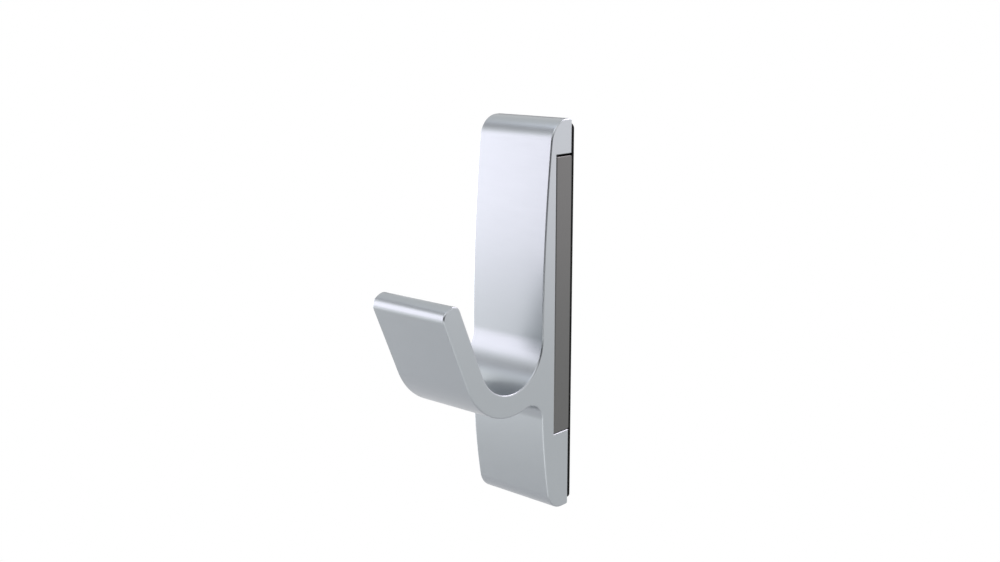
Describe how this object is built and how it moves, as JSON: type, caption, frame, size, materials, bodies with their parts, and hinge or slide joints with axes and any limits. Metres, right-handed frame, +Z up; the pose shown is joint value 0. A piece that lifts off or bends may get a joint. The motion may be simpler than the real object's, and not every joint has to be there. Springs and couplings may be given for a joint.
{
  "type": "magnetic coat hook",
  "caption": "Upright metal hook cut from one extruded section, with a magnet bar in a channel in its back and a thin pad that holds it to steel.",
  "frame": {"origin": "centre of the pad's rear face, which lies on the wall", "axes": "+X to the right seen from the room, +Y into the wall, +Z up; the arm reaches towards -Y"},
  "size_m": [0.0234, 0.0465, 0.1],
  "materials": {
    "satin_aluminium": "satin, finely polished, with a cool silver tone",
    "magnet_grey": "plain mid-grey coated magnet, matt",
    "black_pad": "matt black, soft"
  },
  "bodies": {
    "root": {"hook_body": "satin_aluminium", "magnet_bar": "magnet_grey", "backing_pad": "black_pad"}
  },
  "joints": []
}
